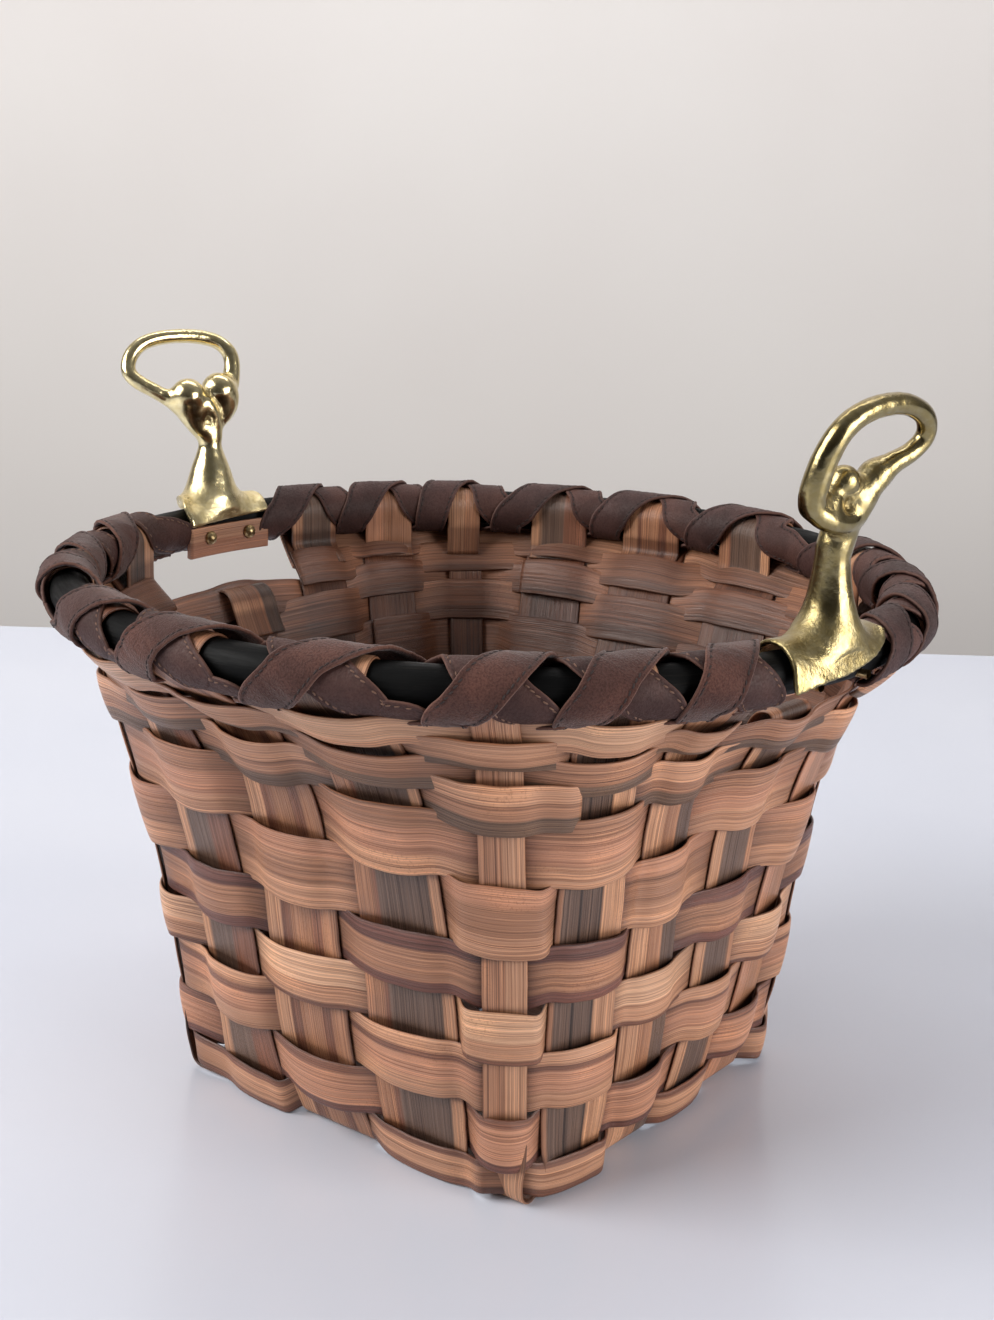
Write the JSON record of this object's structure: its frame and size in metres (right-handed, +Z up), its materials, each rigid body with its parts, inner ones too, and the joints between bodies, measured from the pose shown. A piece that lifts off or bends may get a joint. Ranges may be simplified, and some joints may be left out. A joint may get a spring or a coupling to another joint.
{
  "type": "splint basket",
  "caption": "Plaited wood-splint basket with a square base, a round rim hoop lashed in crossed leather straps, and a cast brass finger-loop handle at each side.",
  "frame": {"origin": "on the floor, under the centre of the rim hoop and of the overall box", "axes": "+Z up, +X towards the right-hand handle, -Y towards the left-front face of the square base"},
  "size_m": [0.3483, 0.3244, 0.2768],
  "materials": {
    "splint_wood": "raw plaited wood splint, straight grain, tan with darker brown streaks, matte",
    "backing_wood": "smooth light wood strip, matte",
    "rim_black": "black stained round hoop, scuffed, semi-gloss",
    "leather_front": "reddish-brown nubby leather strap, edge-stitched",
    "leather_back": "dark purple-brown smooth leather strap, edge-stitched",
    "brass": "polished cast yellow brass with light casting marks"
  },
  "bodies": {
    "root": {"cross_splint_1": "splint_wood", "cross_splint_2": "splint_wood", "cross_splint_3": "splint_wood", "cross_splint_4": "splint_wood", "long_splint_1": "splint_wood", "long_splint_2": "splint_wood", "long_splint_3": "splint_wood", "corner_stake_front": "splint_wood", "corner_stake_right": "splint_wood", "corner_stake_back": "splint_wood", "corner_stake_left": "splint_wood", "weaver_row_00": "splint_wood", "weaver_row_01": "splint_wood", "weaver_row_02": "splint_wood", "weaver_row_03": "splint_wood", "weaver_row_04": "splint_wood", "weaver_row_05": "splint_wood", "weaver_row_06": "splint_wood", "weaver_row_07": "splint_wood", "weaver_row_08": "splint_wood", "upper_weaver_front_09": "splint_wood", "upper_weaver_back_09": "splint_wood", "upper_weaver_front_10": "splint_wood", "upper_weaver_back_10": "splint_wood", "rim_ring": "rim_black", "lashing_front_inner": "leather_front", "lashing_front_outer": "leather_front", "lashing_back_inner": "leather_back", "lashing_back_outer": "leather_back", "right_handle": "brass", "right_backing_strip": "backing_wood", "right_handle_pins": "brass", "left_handle": "brass", "left_backing_strip": "backing_wood", "left_handle_pins": "brass"}
  },
  "joints": []
}
